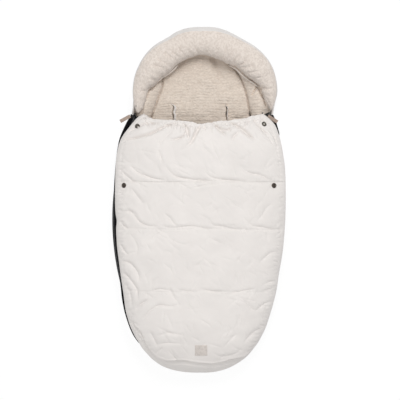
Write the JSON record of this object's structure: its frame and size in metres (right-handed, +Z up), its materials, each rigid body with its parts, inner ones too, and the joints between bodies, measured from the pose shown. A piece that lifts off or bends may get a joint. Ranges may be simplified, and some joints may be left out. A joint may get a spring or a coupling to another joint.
{
  "type": "stroller footmuff",
  "caption": "Padded zip-up footmuff for a stroller, quilted cover with a fold-down top, pile lining, stuffed hood roll and harness slots.",
  "frame": {"origin": "on the ground under the middle of the footmuff's outline", "axes": "+X to the right seen from above, +Y towards the head end, +Z up; the footmuff lies on its back"},
  "size_m": [0.4998, 0.9991, 0.134],
  "materials": {
    "shell_fabric": "matte",
    "pile": "matte",
    "wadding": "matte",
    "elastic": "matte",
    "zip_tape": "matte",
    "zip_coil": "satin",
    "dark_metal": "satin",
    "grey_metal": "satin",
    "tab_leather": "matte",
    "patch": "matte",
    "grip": "matte"
  },
  "bodies": {
    "back": {"back_shell": "shell_fabric", "back_wadding": "wadding", "back_lining": "pile", "grip_panel": "grip", "slot_binding_left": "shell_fabric", "slot_binding_right": "shell_fabric", "slot_binding_crotch": "shell_fabric", "hood_roll_pile": "pile", "hood_roll_shell": "shell_fabric", "hood_roll_padding": "wadding", "hood_drawcord": "elastic", "hood_eyelet_left": "grey_metal", "hood_eyelet_right": "grey_metal", "toe_gusset_shell": "shell_fabric", "toe_gusset_wadding": "wadding", "toe_gusset_lining": "pile", "zip_tape_back_left": "zip_tape", "zip_coil_back_left": "zip_coil", "zip_bottom_stop_left": "dark_metal", "zip_tape_back_right": "zip_tape", "zip_coil_back_right": "zip_coil", "zip_bottom_stop_right": "dark_metal"},
    "cover": {"cover_shell": "shell_fabric", "cover_wadding": "wadding", "cover_lining": "pile", "label_patch": "patch", "zip_tape_cover_left": "zip_tape", "zip_coil_cover_left": "zip_coil", "snap_socket_left": "dark_metal", "snap_socket_cap_left": "dark_metal", "zip_tape_cover_right": "zip_tape", "zip_coil_cover_right": "zip_coil", "snap_socket_right": "dark_metal", "snap_socket_cap_right": "dark_metal"},
    "flap": {"flap_shell": "shell_fabric", "flap_wadding": "wadding", "flap_lining": "pile", "hem_casing": "shell_fabric", "hem_elastic": "elastic", "zip_tape_flap_left": "zip_tape", "zip_coil_flap_left": "zip_coil", "zip_top_stop_left": "dark_metal", "snap_stud_left": "grey_metal", "snap_stud_cap_left": "grey_metal", "zip_tape_flap_right": "zip_tape", "zip_coil_flap_right": "zip_coil", "zip_top_stop_right": "dark_metal", "snap_stud_right": "grey_metal", "snap_stud_cap_right": "grey_metal"},
    "zip_slider_left": {"zip_slider_left": "dark_metal"},
    "zip_link_left": {"zip_link_left": "dark_metal"},
    "zip_tab_left": {"zip_tab_left": "tab_leather"},
    "zip_slider_right": {"zip_slider_right": "dark_metal"},
    "zip_link_right": {"zip_link_right": "dark_metal"},
    "zip_tab_right": {"zip_tab_right": "tab_leather"}
  },
  "joints": [
    {"name": "cover_opening", "type": "hinge", "parent": "back", "child": "cover", "pos_m": [0, -0.455, 0.0995], "axis": [1, 0, 0], "range_deg": [0, 165]},
    {"name": "flap_fold", "type": "hinge", "parent": "cover", "child": "flap", "pos_m": [0, 0.125, 0.135], "axis": [1, 0, 0], "range_deg": [0, 170]},
    {"name": "zip_travel_left", "type": "hinge", "parent": "back", "child": "zip_slider_left", "pos_m": [0.507, -0.057, 0.0487], "axis": [0, 0, 1], "range_deg": [0, 53.9]},
    {"name": "zip_link_swing_left", "type": "hinge", "parent": "zip_slider_left", "child": "zip_link_left", "pos_m": [-0.19603, 0.24308, 0.046], "axis": [0, 0, 1], "range_deg": [-92, 28]},
    {"name": "zip_tab_swing_left", "type": "hinge", "parent": "zip_link_left", "child": "zip_tab_left", "pos_m": [-0.20304, 0.23922, 0.046], "axis": [0, 0, 1], "range_deg": [-20, 10]},
    {"name": "zip_travel_right", "type": "hinge", "parent": "back", "child": "zip_slider_right", "pos_m": [-0.507, -0.057, 0.0487], "axis": [0, 0, 1], "range_deg": [-53.9, 0]},
    {"name": "zip_link_swing_right", "type": "hinge", "parent": "zip_slider_right", "child": "zip_link_right", "pos_m": [0.19603, 0.24308, 0.046], "axis": [0, 0, 1], "range_deg": [-25, 95]},
    {"name": "zip_tab_swing_right", "type": "hinge", "parent": "zip_link_right", "child": "zip_tab_right", "pos_m": [0.20282, 0.23886, 0.046], "axis": [0, 0, 1], "range_deg": [-10, 20]}
  ]
}
